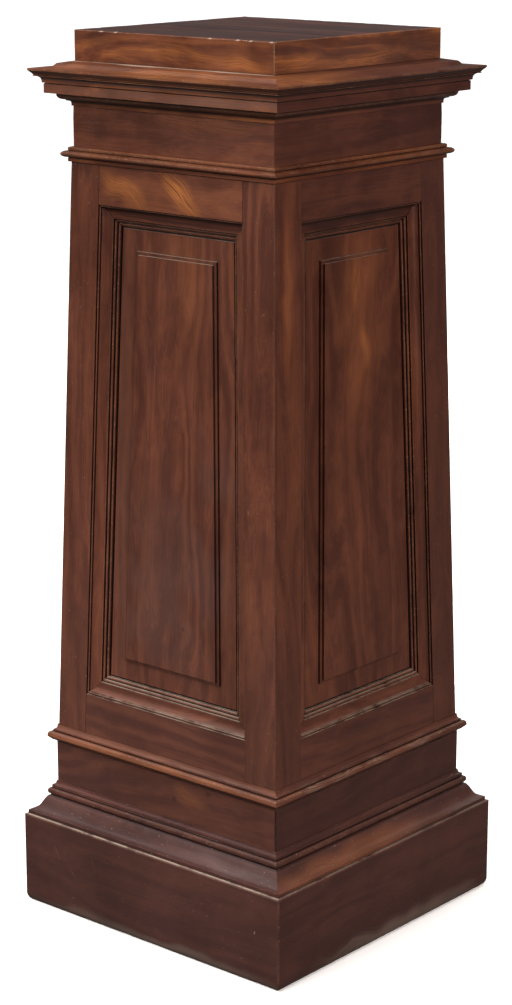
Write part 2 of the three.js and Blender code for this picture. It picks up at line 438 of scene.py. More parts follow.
def die_board():
    back = DIE_HALF - BOARD
    outline = Outline(DIE_HALF, 0).to(DIE_HALF, DIE_TOP).to(back, DIE_TOP).to(back, 0)
    piece = level_strip("die_board", outline)
    round_corners(piece, DIE_HALF, CORNER_ROUND)
    return finish_strip(piece)


def shaft_base_moulding():
    bottom = DIE_TOP + GAP
    top = bottom + 24.7
    outline = Outline(DIE_HALF - 0.4, bottom).cove(4.2, 3.6).slope(4.6, 4.4).fillet(0.4)
    outline.ovolo(0.3, 1.0).ovolo(-0.3, 1.6).ovolo(-4.6, 4.4).step(-1.8).fillet(0.9).step(1.0)
    outline.fillet(1.7).cove(-4.0, 6.7)
    outline.to(shaft_half(top) + GAP, top).to(shaft_half(bottom) + GAP, bottom)
    return finish_strip(level_strip("shaft_base_moulding", outline), MOULDING_EDGE)


def stile(hand):
    """A stile with its mitred corner planed to a small round, leaning with the shaft."""
    outline = [(STILE, SHAFT_THICKNESS), (STILE, REVEAL), (STILE, 0), (STILE_ROUND, 0)]
    for degrees in ROUNDING_CUTS:
        turn = math.radians(degrees)
        inwards, depth = 1 - math.sin(turn), 1 - math.cos(turn)
        outline.append((STILE_ROUND * inwards, STILE_ROUND * depth))
    outline[-1] = (outline[-1][0] + MITRE_GAP, outline[-1][1])
    outline.append((SHAFT_THICKNESS + MITRE_GAP, SHAFT_THICKNESS))
    foot = shaft_half(SHAFT_BOTTOM)
    lean = foot - shaft_half(SHAFT_TOP)
    run = Vector((-hand * lean, lean, SHAFT_TOP - SHAFT_BOTTOM))
    piece = run_length(
        "stile",
        outline,
        lambda inwards, depth: (hand * (foot - inwards), depth - foot, SHAFT_BOTTOM),
        run,
    )
    soften(piece, JOINT_EDGE)
    divide(piece, run)
    return piece


def left_stile():
    return stile(-1)


def right_stile():
    return stile(1)


def rail(bottom, top):
    """A level rail between the stiles."""
    outline = [
        (shaft_half(bottom), bottom),
        (shaft_half(top), top),
        (shaft_half(top) - REVEAL, top),
        (shaft_half(top) - SHAFT_THICKNESS, top),
        (shaft_half(bottom) - SHAFT_THICKNESS, bottom),
        (shaft_half(bottom) - REVEAL, bottom),
    ]
    reach = shaft_half(bottom)
    piece = run_length(
        "rail", outline, lambda out, level: (-reach, -out, level), (2 * reach, 0, 0)
    )
    for hand in (-1, 1):
        edge = (hand * (shaft_half(bottom) - STILE - GAP), 0, bottom)
        saw(piece, edge, (hand, 0, BATTER))
    return finish_strip(piece, JOINT_EDGE)


def bottom_rail():
    return rail(SHAFT_BOTTOM, OPENING_BOTTOM)


def top_rail():
    return rail(OPENING_TOP, SHAFT_TOP)


def face_point(inset, depth, hand, end):
    """A point of the front panel: inwards from the opening's edge, back from the stiles' face."""
    level = OPENING_TOP - inset if end > 0 else OPENING_BOTTOM + inset
    return Vector((hand * (shaft_half(level) - STILE - inset), depth - shaft_half(level), level))


def panel():
    """A board in the opening, grooved along its moulding, its field raised in two small steps."""
    deselect_everything()
    bpy.ops.mesh.primitive_cube_add(size=2)
    piece = bpy.context.object
    piece.name = "panel"
    for vertex in piece.data.vertices:
        depth = MARGIN_DEPTH if vertex.co.y < 0 else SHAFT_THICKNESS
        vertex.co = face_point(GAP, depth, vertex.co.x, vertex.co.z) * MM
    bpy.ops.object.mode_set(mode="EDIT")
    bpy.ops.mesh.select_mode(type="FACE")
    bpy.ops.mesh.select_all(action="DESELECT")
    mesh = bmesh.from_edit_mesh(piece.data)
    mesh.normal_update()
    for face in mesh.faces:
        face.select_set(face.normal.y < -0.9)
    bmesh.update_edit_mesh(piece.data)
    groove_start = PANEL_MOULDING_WIDTH - GROOVE_COVERED
    steps = (
        (groove_start - GAP, GROOVE_DEPTH),
        (GROOVE_WIDTH, -GROOVE_DEPTH),
        (FIELD_INSET - groove_start - GROOVE_WIDTH, -FIELD_STEP),
        (FIELD_STEP_WIDTH, -FIELD_STEP),
    )
    for width, push in steps:
        bpy.ops.mesh.inset(thickness=width * MM, depth=0)
        bpy.ops.mesh.extrude_region_move(
            TRANSFORM_OT_translate={"value": (0, push * MM, 0), "orient_type": "GLOBAL"}
        )
    bpy.ops.mesh.select_mode(type="VERT")
    bpy.ops.object.mode_set(mode="OBJECT")
    soften(piece, FINE_EDGE)
    return piece


def panel_moulding_section():
    """Inwards and back from the opening's edge: a sunk bead, a lipped hollow and two beads."""
    back = MARGIN_DEPTH - GAP
    section = Outline(GAP, back).to(GAP, 2.3).curve((GAP, 1.2), (2.6, 1.2), (2.6, 2.3))
    section.to(2.7, 6.0).to(3.3, 6.0).to(3.3, 4.0).curve((5.0, 8.8), (9.0, 10.7), (16.2, 9.8))
    section.to(17.2, 10.0).to(17.3, 13.0)
    section.curve((17.4, 11.0), (20.9, 11.2), (20.9, 13.4))
    section.to(21.0, 15.2).to(22.0, 15.4)
    section.curve((22.1, 13.3), (25.3, 13.4), (25.3, 15.4))
    return section.to(25.4, back)


def panel_moulding():
    """Four lengths of moulding, mitred round the opening and planted on the panel's margin."""
    section = panel_moulding_section()
    corners = [(-1, -1), (1, -1), (1, 1), (-1, 1)]
    strips = []
    for start, end in zip(corners, corners[1:] + corners[:1]):
        here, there = face_point(0, 0, *start), face_point(0, 0, *end)
        inner_here = face_point(PANEL_MOULDING_WIDTH, 0, *start)
        inner_there = face_point(PANEL_MOULDING_WIDTH, 0, *end)
        along = (there - here).normalized()
        backwards = Vector((0, 1, BATTER)).normalized()
        inwards = backwards.cross(along).normalized()
        if inwards.dot(inner_here - here) < 0:
            inwards = -inwards
        overrun = 2.0
        strip = run_length(
            "strip",
            section.points,
            lambda inset, depth: here + inwards * inset + backwards * depth - along * overrun,
            along * ((there - here).length + 2 * overrun),
        )
        for corner, inner, away in ((here, inner_here, -along), (there, inner_there, along)):
            normal = (inner - corner).cross(backwards).normalized()
            if normal.dot(away) < 0:
                normal = -normal
            saw(strip, corner - normal * GAP / 4, normal)
        soften(strip, STRIP_EDGE)
        divide(strip, along)
        marks = strip.data.attributes.new("upright", "INT", "FACE")
        marks.data.foreach_set("value", [int(start[0] == end[0])] * len(strip.data.polygons))
        strips.append(strip)
    deselect_everything()
    for strip in strips:
        strip.select_set(True)
    bpy.context.view_layer.objects.active = strips[0]
    bpy.ops.object.join()
    piece = bpy.context.object
    piece.name = "panel_moulding"
    return piece


def neck_moulding():
    bottom = SHAFT_TOP + 2 * GAP
    top = bottom + 18.5
    outline = Outline(shaft_half(SHAFT_TOP) + 2.7, bottom).fillet(4.8).quirk(0.8, 0.5)
    outline.bead(7, 8.4).quirk(0.7, 0.5).fillet(2.2).ovolo(-3.4, 2.1)
    outline.to(frieze_half(top) + GAP, top).to(frieze_half(bottom) + GAP, bottom)
    return finish_strip(level_strip("neck_moulding", outline), MOULDING_EDGE)


def frieze_board():
    outline = Outline(frieze_half(FRIEZE_BOTTOM), FRIEZE_BOTTOM)
    outline.to(frieze_half(FRIEZE_TOP), FRIEZE_TOP).to(frieze_half(FRIEZE_TOP) - BOARD, FRIEZE_TOP)
    outline.to(frieze_half(FRIEZE_BOTTOM) - BOARD, FRIEZE_BOTTOM)
    piece = level_strip("frieze_board", outline)
    middle = (FRIEZE_BOTTOM + FRIEZE_TOP) / 2
    round_corners(piece, frieze_half(middle) + 0.6, CORNER_ROUND)
    return finish_strip(piece)


def cornice():
    outline = Outline(frieze_half(CORNICE_BOTTOM) + 1.8, CORNICE_BOTTOM).fillet(3.4)
    outline.cove(4.7, 3).fillet(1.3).ovolo(8.5, 7.1).fillet(1.2).step(10.7)
    outline.fillet(11.6).step(-1.0).fillet(1.0).step(2.6).fillet(0.8).cove(7, 7.4).step(0.9)
    outline.fillet(0.9).quirk(0.8, 0.8).fillet(0.9).slope(4.6, 4.6).fillet(2.5)
    outline.slope(-21.5, 1.4).slope(-4.3, 4.5).to(frieze_half(CORNICE_TOP) + 0.6, CORNICE_TOP)
    outline.to(frieze_half(CORNICE_TOP) + GAP, CORNICE_TOP)
    outline.to(frieze_half(CORNICE_BOTTOM) + GAP, CORNICE_BOTTOM)
    return finish_strip(level_strip("cornice", outline), FINE_EDGE)


def cap_board():
    nose = 1.2
    outline = Outline(CAP_HALF, CAP_BOTTOM).to(CAP_HALF, HEIGHT - nose).ovolo(-nose, nose)
    outline.to(CAP_HALF - CAP_LIP, HEIGHT).to(CAP_HALF - BOARD, HEIGHT - BOARD + CAP_LIP)
    outline.to(CAP_HALF - BOARD, CAP_BOTTOM)
    piece = level_strip("cap_board", outline)
    round_corners(piece, CAP_HALF, CORNER_ROUND)
    return finish_strip(piece, FINE_EDGE, CAP_DIVISION)


def cap_top_board():
    deselect_everything()
    bpy.ops.mesh.primitive_cube_add(size=2)
    piece = bpy.context.object
    piece.name = "cap_top_board"
    for vertex in piece.data.vertices:
        is_top = vertex.co.z > 0
        half = CAP_HALF - CAP_LIP - GAP - (0 if is_top else BOARD - CAP_LIP)
        level = HEIGHT if is_top else HEIGHT - BOARD + CAP_LIP
        vertex.co = Vector((vertex.co.x * half, vertex.co.y * half, level)) * MM
    soften(piece, TOP_EDGE)
    return piece


# Materials: old polished mahogany, its figure read from each piece's own place in the pedestal
PORE = (0.02, 0.008, 0.006, 1)
LOW_GREY = (0.085, 0.055, 0.05, 1)
PIT = (0.025, 0.01, 0.008, 1)
SPECK = (0.42, 0.36, 0.32, 1)
RUBBED = (0.21, 0.1, 0.055, 1)
CHIPPED = (0.46, 0.34, 0.25, 1)
# Near-black for shut-in hollows: dirt, with painted shade
GRIME_AND_SHADE_COLOUR = (0.007, 0.003, 0.003, 1)
# Painted shade for faces turned downwards
SHADED = (0.02, 0.009, 0.008, 1)
DUST = (0.36, 0.29, 0.235, 1)
POLISH_SHINE = 0.3


def add(tree, kind, inputs=None, **settings):
    """Adds a node, sets it up and links or fills its inputs."""
    made = tree.nodes.new(kind)
    for name, value in settings.items():
        setattr(made, name, value)
    for name, value in (inputs or {}).items():
        socket = made.inputs[name]
        if isinstance(value, bpy.types.NodeSocket):
            tree.links.new(value, socket)
        else:
            socket.default_value = value
    return made


def maths(tree, operation, first, second=0.0):
    return add(tree, "ShaderNodeMath", {0: first, 1: second}, operation=operation).outputs[0]


def move(tree, place, shift):
    return add(tree, "ShaderNodeVectorMath", {0: place, 1: shift}, operation="ADD").outputs[0]


def blend(tree, share, first, second, how="MIX"):
    inputs = {0: share, 6: first, 7: second}
    return add(tree, "ShaderNodeMix", inputs, data_type="RGBA", blend_type=how).outputs[2]


def remap(tree, value, low, high, to_low=0.0, to_high=1.0):
    inputs = {
        "Value": value,
        "From Min": low,
        "From Max": high,
        "To Min": to_low,
        "To Max": to_high,
    }
    return add(tree, "ShaderNodeMapRange", inputs, interpolation_type="SMOOTHSTEP").outputs[0]


def grain_noise(tree, place, grain, along, across, detail=3.0):
    """Noise drawn out along the grain: along and across are its counts to the metre."""
    scale = [across] * 3
    scale["XYZ".index(grain)] = along
    drawn = add(tree, "ShaderNodeMapping", {"Vector": place, "Scale": scale}).outputs[0]
    inputs = {"Vector": drawn, "Scale": 1.0, "Detail": detail, "Roughness": 0.58}
    return add(tree, "ShaderNodeTexNoise", inputs).outputs[0]


def new_group(name, inputs, outputs):
    group = bpy.data.node_groups.new(name, "ShaderNodeTree")
    for label, kind in inputs.items():
        group.interface.new_socket(label, in_out="INPUT", socket_type="NodeSocket" + kind)
    for label, kind in outputs.items():
        group.interface.new_socket(label, in_out="OUTPUT", socket_type="NodeSocket" + kind)
    start = group.nodes.new("NodeGroupInput")
    end = group.nodes.new("NodeGroupOutput")
    return group, start.outputs, end.inputs


def figure_group(grain):
    """The bare wood's figure along one axis: ribbons, rings, streaks, fibres and pores."""
    tree, given, result = new_group(
        "mahogany along " + grain,
        {"Shift": "Vector", "Dark": "Color", "Middle": "Color", "Light": "Color", "Gold": "Float"},
        {"Colour": "Color", "Streaks": "Float", "Fibres": "Float", "Pores": "Float"},
    )
    place = move(tree, add(tree, "ShaderNodeTexCoord").outputs["Object"], given["Shift"])
    sway = grain_noise(tree, place, grain, 1.6, 8.0, 2.0)
    swayed = move(tree, place, maths(tree, "MULTIPLY", sway, 0.16))
    inputs = {"Vector": swayed, "Rotation": (0.04, 0.05, 0.03)}
    tilted = add(tree, "ShaderNodeMapping", inputs).outputs[0]
    rings = add(
        tree,
        "ShaderNodeTexWave",
        {"Vector": tilted, "Scale": 12.0, "Distortion": 3.0, "Detail": 2.0, "Detail Scale": 3.0},
        wave_type="RINGS",
        rings_direction=grain,
    ).outputs["Fac"]
    ribbons = grain_noise(tree, swayed, grain, 1.2, 16.0, 2.0)
    streaks = grain_noise(tree, swayed, grain, 1.4, 75.0, 5.0)
    fibres = grain_noise(tree, swayed, grain, 5.0, 560.0, 3.0)
    pores = remap(tree, grain_noise(tree, place, grain, 60.0, 1700.0, 1.0), 0.6, 0.72)
    figure = maths(tree, "MULTIPLY", ribbons, 0.4)
    for part, share in ((streaks, 0.36), (fibres, 0.3), (rings, 0.1)):
        figure = maths(tree, "ADD", figure, maths(tree, "MULTIPLY", part, share))
    colour = blend(tree, remap(tree, figure, 0.44, 0.66), given["Dark"], given["Middle"])
    golden = maths(tree, "MULTIPLY", remap(tree, figure, 0.58, 0.78), given["Gold"])
    colour = blend(tree, golden, colour, given["Light"])
    colour = blend(tree, maths(tree, "MULTIPLY", pores, 0.3), colour, PORE)
    tree.links.new(colour, result["Colour"])
    tree.links.new(streaks, result["Streaks"])
    tree.links.new(fibres, result["Fibres"])
    tree.links.new(pores, result["Pores"])
    return tree


def polish_group():
    """The old finish over the wood: worn edges, dirt with painted shade in shut-in hollows, painted
    shade under downward faces, dust, specks and uneven gloss.
    """
    tree, given, result = new_group(
        "old polish",
        {"Colour": "Color", "Streaks": "Float", "Fibres": "Float", "Pores": "Float",
         "Wear": "Float", "Dust": "Float", "Specks": "Float", "Gloss": "Float"},
        {"Colour": "Color", "Roughness": "Float", "Normal": "Vector"},
    )
    place = add(tree, "ShaderNodeTexCoord").outputs["Object"]
    edge = add(tree, "ShaderNodeAttribute", attribute_name="arris").outputs["Fac"]
    facing = add(tree, "ShaderNodeNewGeometry").outputs["Normal"]
    upward = add(tree, "ShaderNodeSeparateXYZ", {0: facing}).outputs[2]
    level = add(tree, "ShaderNodeSeparateXYZ", {0: place}).outputs[2]
    patchy = grain_noise(tree, place, "Z", 45.0, 45.0, 3.0)
    crumbs = grain_noise(tree, place, "Z", 420.0, 420.0, 2.0)
    clouds = grain_noise(tree, place, "Z", 5.0, 9.0, 3.0)

    colour = blend(tree, 1.0, given["Colour"], remap(tree, level, 0.1, 1.1, 1.06, 0.96), "MULTIPLY")
    colour = blend(tree, 1.0, colour, remap(tree, clouds, 0.3, 0.7, 0.82, 1.16), "MULTIPLY")
    # Greyer towards the bottom
    low_greying = remap(tree, level, 0.9, 0.1, 0, 0.16)
    colour = blend(tree, low_greying, colour, LOW_GREY)
    pits = remap(tree, crumbs, 0.3, 0.24, 0, 0.5)
    colour = blend(tree, pits, colour, PIT)
    specks = maths(tree, "MULTIPLY", remap(tree, crumbs, 0.71, 0.76), given["Specks"])
    colour = blend(tree, specks, colour, SPECK)
    outward = remap(tree, edge, 0.45, 1.0)
    rubbed = maths(tree, "MULTIPLY", outward, remap(tree, patchy, 0.3, 0.66))
    rubbed = maths(tree, "MULTIPLY", rubbed, given["Wear"])
    colour = blend(tree, rubbed, colour, RUBBED)
    chipped = maths(tree, "MULTIPLY", outward, remap(tree, crumbs, 0.6, 0.68))
    chipped = maths(tree, "MULTIPLY", chipped, given["Wear"])
    colour = blend(tree, chipped, colour, CHIPPED)
    # Dirt and painted shade: shut-in hollows are darkened towards near-black
    grime_and_shade = add(tree, "ShaderNodeAttribute", attribute_name="grime_and_shade").outputs["Fac"]
    colour = blend(tree, remap(tree, grime_and_shade, 0.05, 0.24, 0, 0.95), colour, GRIME_AND_SHADE_COLOUR)
    # Painted shade: faces turned downwards are darkened towards near-black
    shaded = remap(tree, upward, -0.2, -0.7, 0, 0.6)
    colour = blend(tree, shaded, colour, SHADED)
    film = maths(tree, "MULTIPLY", remap(tree, upward, 0.8, 0.98), remap(tree, patchy, 0.2, 0.6))
    film = maths(tree, "MULTIPLY", film, given["Dust"])
    colour = blend(tree, film, colour, DUST)

    relief = maths(tree, "MULTIPLY", given["Fibres"], 0.6)
    relief = maths(tree, "ADD", relief, maths(tree, "MULTIPLY", given["Streaks"], 0.7))
    relief = maths(tree, "SUBTRACT", relief, maths(tree, "MULTIPLY", given["Pores"], 0.3))
    relief = maths(tree, "ADD", relief, maths(tree, "MULTIPLY", clouds, 2.0))
    inputs = {"Height": relief, "Strength": 0.3, "Distance": 0.5 * MM}
    bump = add(tree, "ShaderNodeBump", inputs).outputs[0]
    rough = maths(tree, "ADD", given["Gloss"], remap(tree, clouds, 0.3, 0.7, -0.05, 0.08))
    rough = maths(tree, "ADD", rough, maths(tree, "MULTIPLY", film, 0.4))
    rough = maths(tree, "ADD", rough, maths(tree, "MULTIPLY", given["Pores"], 0.1))
    tree.links.new(colour, result["Colour"])
    tree.links.new(rough, result["Roughness"])
    tree.links.new(bump, result["Normal"])
    return tree


STRIPE = 1.2
FIGURES = {grain: figure_group(grain) for grain in "XYZ"}
POLISH = polish_group()


def paint_spot(tree, colour, side, across, level, length, width, tilt, tint, share, striped):
    """An uneven oval of another colour: a flame striped along its length, a knot, a stain, a dark
    joint, a painted shadow, painted light or a painted sheen.
    """
    place = add(tree, "ShaderNodeTexCoord").outputs["Object"]
    bend = 0.35 * MM
    warp = remap(tree, grain_noise(tree, place, "Z", 16.0, 16.0, 1.0), 0.2, 0.8, -bend, bend)
    place = move(tree, place, maths(tree, "MULTIPLY", warp, width))
    turn = math.radians(tilt)
    deep = 3000.0
    count = max(3.0, width / STRIPE)
    if ALONG[side] == "X":
        centre, turned = (across, 0, level), (0, -turn, 0)
        size, stripes = (length, deep, width), (0.9, 0, count)
    else:
        centre, turned = (0, across, level), (turn, 0, 0)
        size, stripes = (deep, length, width), (0, 0.9, count)
    middle, spread = Vector(centre) * MM, Vector(size) * MM
    inputs = {"Vector": place, "Location": middle, "Rotation": turned, "Scale": spread}
    oval = add(tree, "ShaderNodeMapping", inputs, vector_type="TEXTURE").outputs[0]
    reach = add(tree, "ShaderNodeVectorMath", {0: oval}, operation="LENGTH").outputs[1]
    inputs = {"Vector": oval, "Location": centre, "Scale": stripes}
    drawn = add(tree, "ShaderNodeMapping", inputs).outputs[0]
    inputs = {"Vector": drawn, "Scale": 1.0, "Detail": 4.0}
    lines = add(tree, "ShaderNodeTexNoise", inputs).outputs[0]
    ragged = maths(tree, "ADD", reach, maths(tree, "MULTIPLY", lines, 0.8))
    cover = remap(tree, ragged, 1.45, 0.6, 0, share)
    lined = remap(tree, lines, 0.42, 0.62, 1 - striped, 1)
    return blend(tree, maths(tree, "MULTIPLY", cover, lined), colour, (*tint, 1))


def mahogany(
    name,
    grain,
    tone,
    seed,
    side="front",
    spots=(),
    gold=0.5,
    wear=0.6,
    dust=0.0,
    specks=0.0,
    gloss=0.36,
):
    """Polished mahogany: tone is its dark, middle and light colours, gold its share of light."""
    material = bpy.data.materials.new(name)
    material.use_nodes = True
    tree = material.node_tree
    shader = tree.nodes["Principled BSDF"]
    dark, middle, light = ((*colour, 1) for colour in tone)
    inputs = {
        "Shift": (seed * 3.1, seed * 1.7, seed * 2.3),
        "Dark": dark,
        "Middle": middle,
        "Light": light,
        "Gold": gold,
    }
    figure = tree.nodes.new("ShaderNodeGroup")
    figure.node_tree = FIGURES[grain]
    for label, value in inputs.items():
        figure.inputs[label].default_value = value
    colour = figure.outputs["Colour"]
    for spot in spots:
        colour = paint_spot(tree, colour, side, *spot)

    polish = tree.nodes.new("ShaderNodeGroup")
    polish.node_tree = POLISH
    tree.links.new(colour, polish.inputs["Colour"])
    for label in ("Streaks", "Fibres", "Pores"):
        tree.links.new(figure.outputs[label], polish.inputs[label])
    for label, value in {"Wear": wear, "Dust": dust, "Specks": specks, "Gloss": gloss}.items():
        polish.inputs[label].default_value = value
    tree.links.new(polish.outputs["Colour"], shader.inputs["Base Color"])
    tree.links.new(polish.outputs["Roughness"], shader.inputs["Roughness"])
    tree.links.new(polish.outputs["Normal"], shader.inputs["Normal"])
    shader.inputs["Specular IOR Level"].default_value = POLISH_SHINE
    return material


RED_BROWN = ((0.060, 0.0168, 0.0095), (0.107, 0.0325, 0.0172), (0.175, 0.059, 0.026))
DARK_RED = ((0.050, 0.0148, 0.0105), (0.080, 0.025, 0.0152), (0.13, 0.043, 0.022))
DARKEST = ((0.038, 0.0116, 0.0097), (0.055, 0.0176, 0.013), (0.088, 0.030, 0.0185))
WARM_BROWN = ((0.065, 0.0172, 0.008), (0.125, 0.036, 0.0145), (0.24, 0.083, 0.024))
GOLDEN = ((0.074, 0.021, 0.0095), (0.145, 0.045, 0.0175), (0.34, 0.12, 0.033))
DEEP_RED = ((0.030, 0.0078, 0.0068), (0.055, 0.0148, 0.0112), (0.09, 0.027, 0.017))
PLUM = ((0.020, 0.0055, 0.005), (0.056, 0.0168, 0.0125), (0.12, 0.044, 0.032))
GOLD = (0.42, 0.15, 0.036)
ORANGE = (0.25, 0.085, 0.03)
DARK = (0.03, 0.010, 0.008)
CREAM = (0.55, 0.45, 0.36)
# A grey painted sheen, standing for reflections of the studio in the polish
PAINTED_SHEEN = (0.12, 0.085, 0.085)
# A pale grey painted reflection of the floor
PAINTED_FLOOR_REFLECTION = (0.26, 0.21, 0.175)
PINK = (0.19, 0.085, 0.058)

ALONG = {"front": "X", "right": "Y", "back": "X", "left": "Y"}

# Single pieces given other tones than the rest of their kind, most of them darker on the right side
TONES = {
    "top_rail_right": DARK_RED,
    "plinth_moulding_right": DARKEST,
    "frieze_board_right": DARK_RED,
    "cornice_right": DARK_RED,
    "right_stile_right": DARK_RED,
    "shaft_base_moulding_right": DARK_RED,
    "die_board_right": DARKEST,
    "cap_board_right": GOLDEN,
}

# Single pieces with more or less dust, gold or wear than the rest of their kind
FINISHES = {
    "plinth_board_right": {"dust": 0.3},
    "cap_board_right": {"gold": 1.0},
    "shaft_base_moulding_right": {"specks": 1.0, "wear": 0.35},
}

# Chips knocked out of the arrises: a place in millimetres and the way the blow went
CAP_CHIPS = (-115, -91, 61, 105, 125, 157)
CORNICE_TIP = cornice_high.x
CHIPS = {
    "cap_board_front": [((across, -CAP_HALF, HEIGHT), (0, 1, -1)) for across in CAP_CHIPS],
    "cornice_front": [((CORNICE_TIP, -CORNICE_TIP, CORNICE_TOP - 5), (-1, 1, 0))],
    "cornice_right": [((CORNICE_TIP, -CORNICE_TIP, CORNICE_TOP - 5), (-1, 1, 0))],
}

LEAN = math.degrees(math.atan(BATTER))
SHAFT_MIDDLE = (SHAFT_BOTTOM + SHAFT_TOP) / 2
SHAFT_CORNER = shaft_half(SHAFT_MIDDLE)
MARGIN_MIDDLE = SHAFT_CORNER - STILE - (PANEL_MOULDING_WIDTH + FIELD_INSET) / 2
LOW_LEVEL = SHAFT_BOTTOM + 60
LOW_STILE = shaft_half(LOW_LEVEL) - STILE / 2

